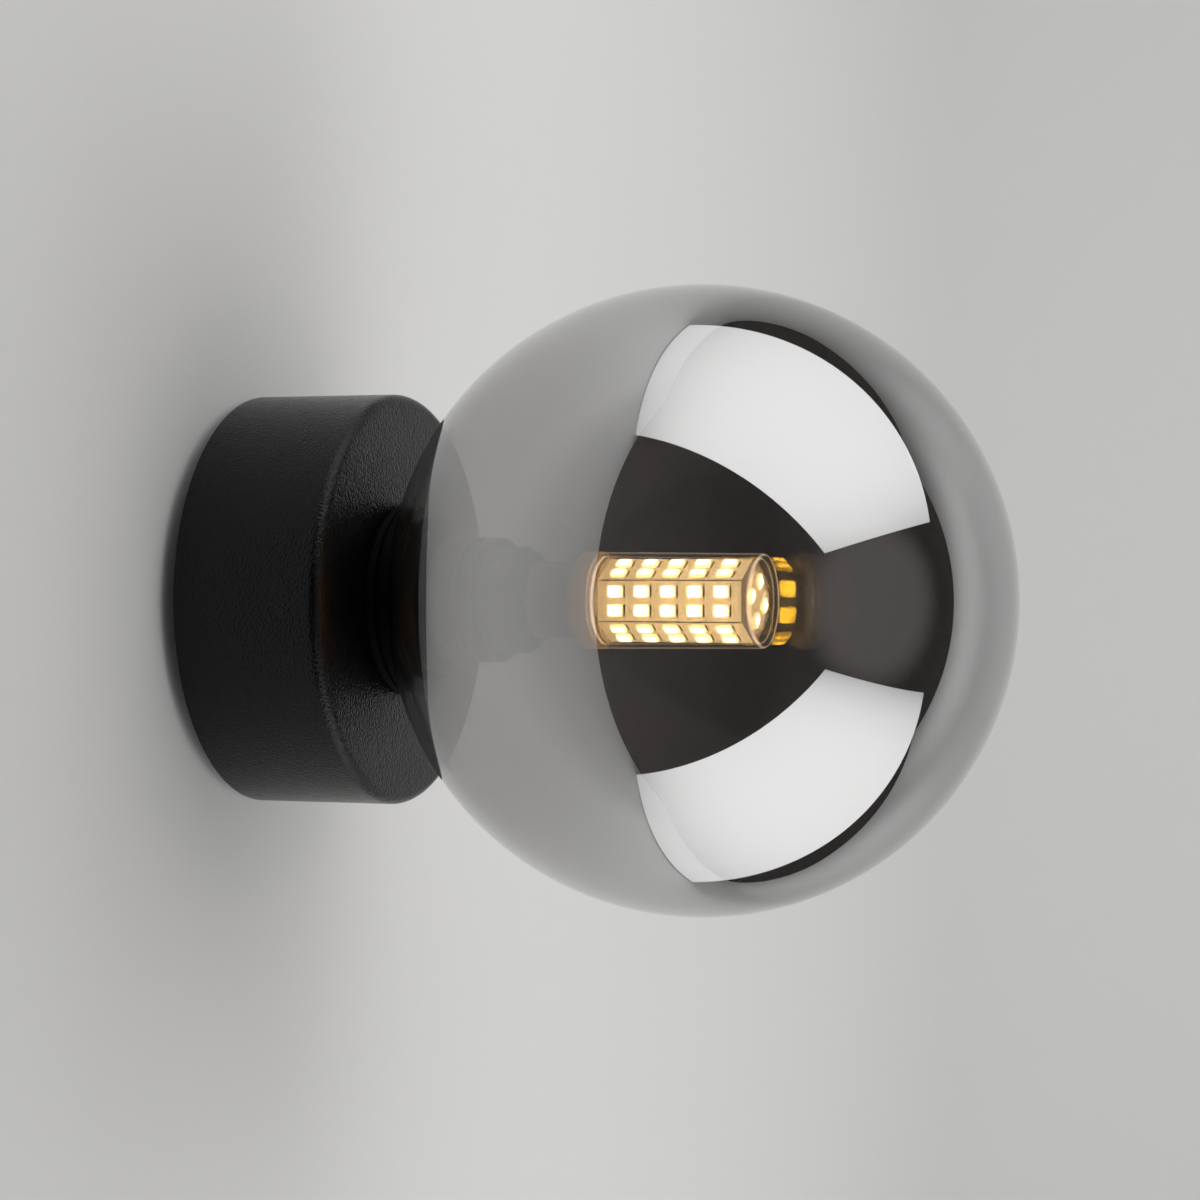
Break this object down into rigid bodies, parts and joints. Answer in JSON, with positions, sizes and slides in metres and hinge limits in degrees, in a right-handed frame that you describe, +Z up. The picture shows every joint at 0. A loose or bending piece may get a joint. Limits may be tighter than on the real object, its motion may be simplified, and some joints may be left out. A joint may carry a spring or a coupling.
{
  "type": "globe wall sconce",
  "caption": "Wall light: black drum base with a threaded lampholder, a pin-based LED bulb and a smoked half-mirror glass ball on a screw collar.",
  "frame": {"origin": "on the lamp's axis, in the plane of the wall, at the cable entry", "axes": "+Y into the wall along the lamp's axis, +Z up, +X to the right for someone who faces the wall"},
  "size_m": [0.14, 0.1768, 0.14],
  "materials": {
    "base_metal": "fine-textured black powder coat",
    "zinc_steel": "zinc plated",
    "black_steel": "blackened steel",
    "black_rubber": "matt",
    "holder_plastic": "light grey, satin",
    "holder_ceramic": "white, satin",
    "contact_brass": "plain",
    "brown_wire": "brown insulation, satin",
    "blue_wire": "blue insulation, satin",
    "earth_wire": "green and yellow insulation, satin",
    "block_plastic": "white, satin",
    "tinned_copper": "tinned",
    "smoked_glass": "smoked half-mirror, polished",
    "collar_plastic": "black, satin",
    "bulb_plastic": "milky, glossy",
    "board_cream": "cream solder mask",
    "clear_cover": "clear, polished",
    "board_green": "green solder mask",
    "capacitor_skin": "shrink sleeve",
    "chip_black": "moulded",
    "led_light": "warm white, lit"
  },
  "bodies": {
    "base": {"base_housing": "base_metal", "mounting_plate": "zinc_steel", "side_screws": "black_steel", "cable_grommet": "black_rubber", "threaded_sleeve": "holder_plastic", "lock_washer": "zinc_steel", "lock_nut": "holder_plastic", "lampholder_insert": "holder_ceramic", "holder_contacts": "contact_brass", "holder_cap": "holder_plastic", "live_wire": "brown_wire", "neutral_wire": "blue_wire", "earth_wire": "earth_wire", "terminal_block": "block_plastic", "terminal_tubes": "contact_brass", "terminal_screws": "zinc_steel", "block_screw": "zinc_steel", "earth_washer": "zinc_steel", "earth_lug": "tinned_copper", "earth_screw": "contact_brass"},
    "seal": {"glass_seal": "black_rubber"},
    "globe": {"globe_glass": "smoked_glass", "globe_collar": "collar_plastic"},
    "bulb": {"bulb_base": "bulb_plastic", "bulb_pins": "tinned_copper", "bulb_boards": "board_cream", "bulb_side_leds": "led_light", "bulb_end_board": "board_cream", "bulb_end_leds": "led_light", "bulb_cover": "clear_cover", "bulb_driver_board": "board_green", "bulb_capacitor": "capacitor_skin", "bulb_driver_chips": "chip_black"}
  },
  "joints": [
    {"name": "globe_turn", "type": "hinge", "parent": "base", "child": "seal", "pos_m": [0, -0.035, 0], "axis": [0, -1, 0], "range_deg": [0, 3960]},
    {"name": "globe_travel", "type": "slide", "parent": "seal", "child": "globe", "axis": [0, -1, 0], "range_m": [0, 0.02201]},
    {"name": "bulb_pull", "type": "slide", "parent": "base", "child": "bulb", "axis": [0, -1, 0], "range_m": [0, 0.01]}
  ],
  "couplings": [
    {"joint": "globe_travel", "follows": "globe_turn", "m_per_rad": 0.00031831}
  ]
}
